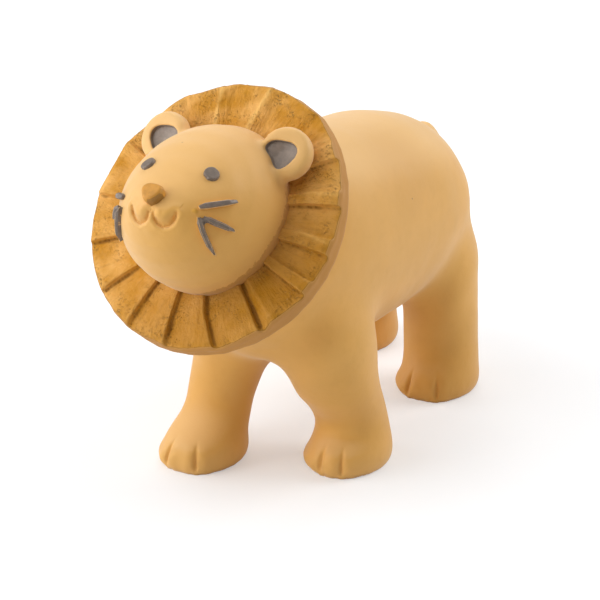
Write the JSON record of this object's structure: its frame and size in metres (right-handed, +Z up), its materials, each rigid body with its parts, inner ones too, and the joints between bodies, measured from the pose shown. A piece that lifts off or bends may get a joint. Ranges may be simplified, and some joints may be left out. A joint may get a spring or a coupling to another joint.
{
  "type": "toy lion",
  "caption": "Soft hollow rubber lion standing in a walking pose, with a round pleated mane and raised painted face details.",
  "frame": {"origin": "on the floor under the middle of the toy's bounding box, between the four soles", "axes": "+Z up, the lion walks towards -Y, and its own left side is on +X"},
  "size_m": [0.0648, 0.134, 0.096],
  "materials": {
    "latex": "matte, slightly mottled cast rubber",
    "mane_paint": "satin mustard paint with brush streaks, on rubber",
    "nose_paint": "satin ochre paint on rubber",
    "grey_paint": "satin warm grey paint on rubber"
  },
  "bodies": {
    "root": {"torso": "latex", "front_left_leg": "latex", "front_right_leg": "latex", "hind_left_leg": "latex", "hind_right_leg": "latex", "tail": "latex", "tail_tuft": "mane_paint", "mane_disc": "latex", "mane_pleats": "mane_paint", "head": "latex", "nose": "nose_paint", "left_ear": "latex", "left_ear_inner": "grey_paint", "left_eye": "grey_paint", "left_upper_whisker": "grey_paint", "left_middle_whisker": "grey_paint", "left_lower_whisker": "grey_paint", "right_ear": "latex", "right_ear_inner": "grey_paint", "right_eye": "grey_paint", "right_upper_whisker": "grey_paint", "right_middle_whisker": "grey_paint", "right_lower_whisker": "grey_paint"}
  },
  "joints": []
}
